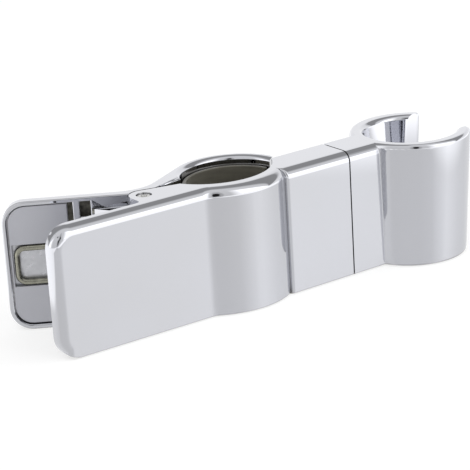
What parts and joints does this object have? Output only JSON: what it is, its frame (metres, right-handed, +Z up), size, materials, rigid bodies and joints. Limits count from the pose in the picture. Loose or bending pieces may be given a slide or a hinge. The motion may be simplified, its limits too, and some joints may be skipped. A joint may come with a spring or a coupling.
{
  "type": "shower rail slider",
  "caption": "Clip-on shower rail slider: hinged, sprung clamp jaws on a round rail and a swivelling open cup for a handset.",
  "frame": {"origin": "on the axis of the front jaw's bore, level with the underside", "axes": "+X along the arm towards the handset cup, +Y from the front arm towards the rear lever, +Z up along the rail"},
  "size_m": [0.1303, 0.0449, 0.035],
  "materials": {
    "chromed_body": "bright chrome plate on moulded ABS",
    "inner_panel": "smooth metallic grey plastic",
    "grip_liner": "matt dark olive elastomer",
    "spring_wire": "nickel-plated spring wire",
    "steel": "stainless steel",
    "brass": "turned brass",
    "black_rubber": "black rubber"
  },
  "bodies": {
    "arm": {"front_arm": "chromed_body", "front_inner_panel": "inner_panel", "front_grip_liner": "grip_liner", "hinge_pin": "steel", "torsion_spring": "spring_wire", "threaded_insert": "brass", "friction_ring": "black_rubber", "pivot_screw": "steel", "flat_washer": "steel", "wave_washer": "steel"},
    "lever": {"rear_lever": "chromed_body", "rear_inner_panel": "inner_panel", "rear_grip_liner": "grip_liner"},
    "holder": {"handset_holder": "chromed_body", "screw_cap": "chromed_body"}
  },
  "joints": [
    {"name": "jaw_hinge", "type": "hinge", "parent": "arm", "child": "lever", "pos_m": [-0.0267, -0.0084, 0.0175], "axis": [0, 0, 1], "range_deg": [0, 28], "stiffness_Nm_per_rad": 0.1, "springref_deg": -22.92, "deforming": ["torsion_spring"]},
    {"name": "holder_swivel", "type": "hinge", "parent": "arm", "child": "holder", "pos_m": [0.0325, -0.0128, 0.0175], "axis": [1, 0, 0], "range_deg": [-90, 90]}
  ]
}
